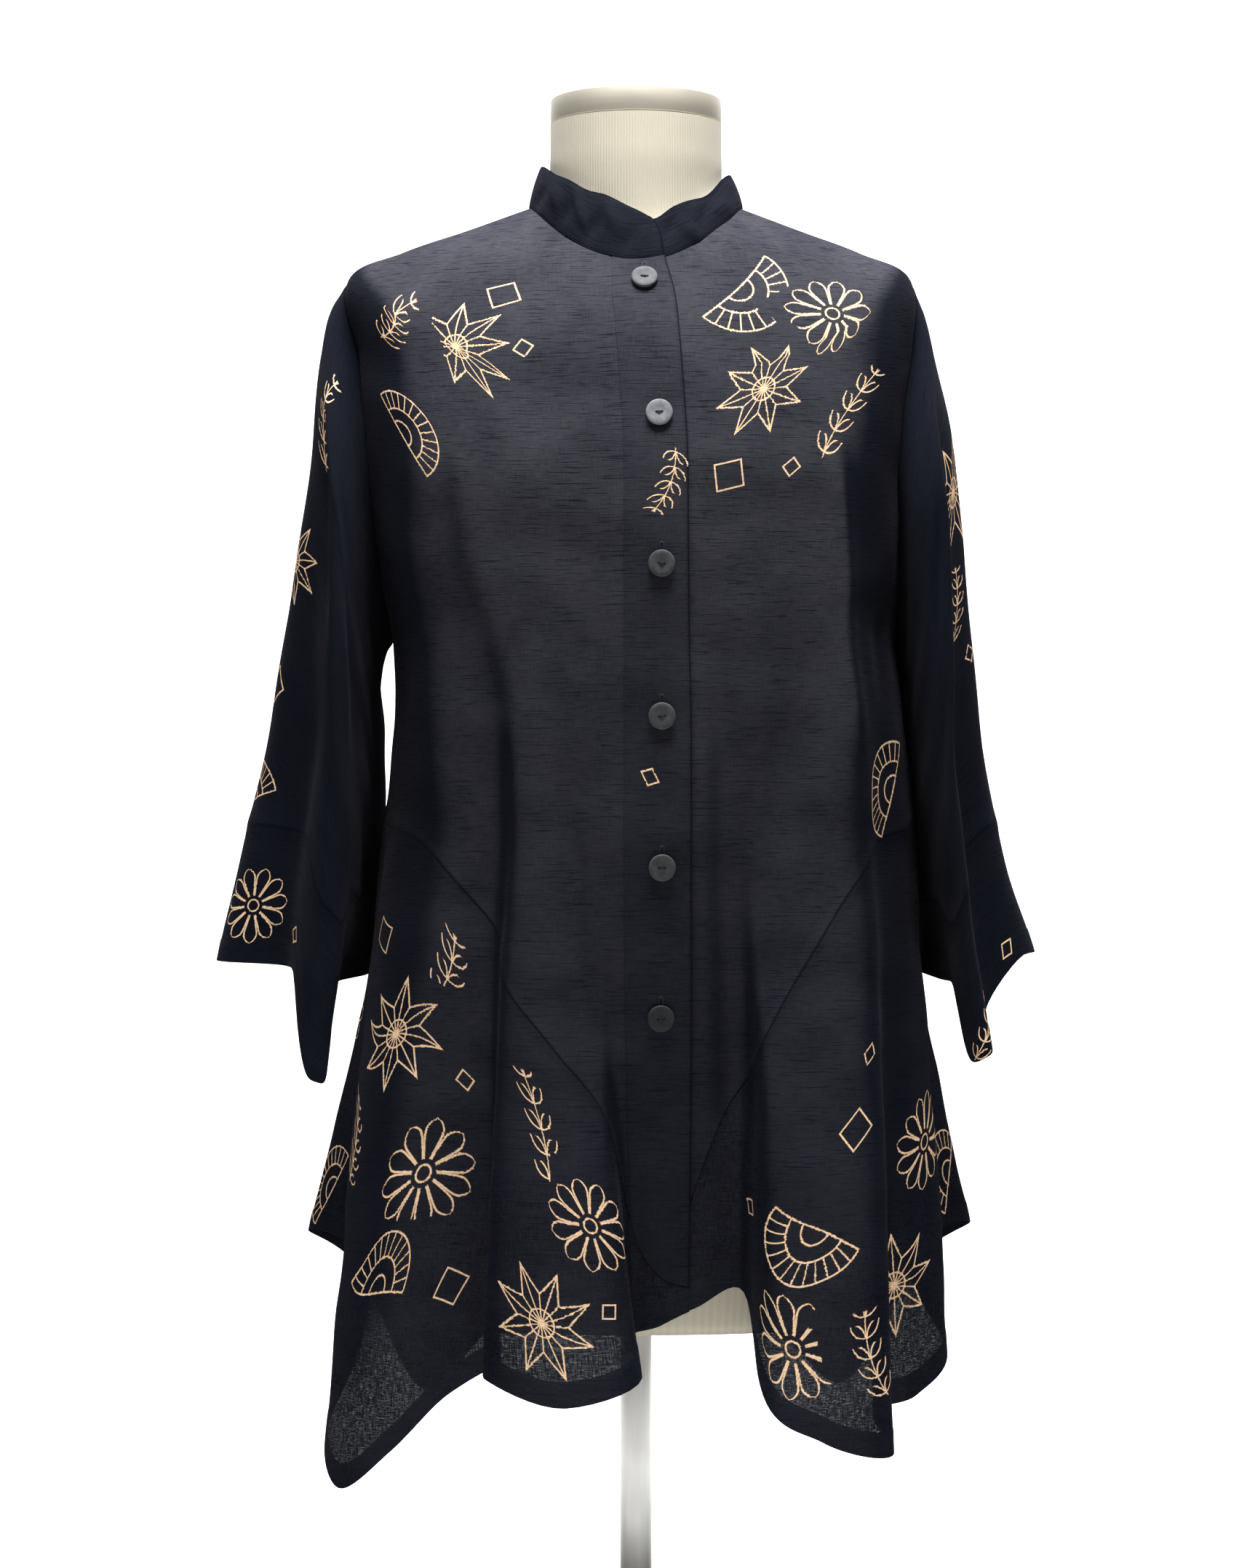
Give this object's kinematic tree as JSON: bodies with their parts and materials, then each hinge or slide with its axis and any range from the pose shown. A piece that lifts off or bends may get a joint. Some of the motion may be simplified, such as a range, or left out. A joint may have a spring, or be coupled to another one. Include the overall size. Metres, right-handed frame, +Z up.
{
  "type": "button-up blouse on a dress form",
  "caption": "Loose dark blouse with a band collar, wide sleeves and a pointed hem, buttoned on a limbless dress form with a plain stand.",
  "frame": {"origin": "middle of the underside of the stand's base plate", "axes": "-Y is the blouse's front, +X the wearer's left side, +Z up along the stand's pole"},
  "size_m": [0.5666, 0.3274, 1.0783],
  "materials": {
    "blouse_cloth": "semi-sheer woven, soft sheen",
    "button_plastic": "matte",
    "form_cloth": "ribbed knit",
    "cap_steel": "brushed",
    "stand_steel": "satin"
  },
  "bodies": {
    "root": {"front_right_upper": "blouse_cloth", "front_left_upper": "blouse_cloth", "back_upper_right": "blouse_cloth", "back_upper_left": "blouse_cloth", "lower_front_right": "blouse_cloth", "lower_front_left": "blouse_cloth", "lower_back_right": "blouse_cloth", "lower_back_left": "blouse_cloth", "placket": "blouse_cloth", "collar": "blouse_cloth", "sleeve_right": "blouse_cloth", "sleeve_left": "blouse_cloth", "cuff_right": "blouse_cloth", "cuff_left": "blouse_cloth", "button_1": "button_plastic", "button_2": "button_plastic", "button_3": "button_plastic", "button_4": "button_plastic", "button_5": "button_plastic", "button_6": "button_plastic", "form_torso": "form_cloth", "form_cap": "cap_steel", "stand_pole": "stand_steel", "stand_base": "stand_steel"}
  },
  "joints": []
}
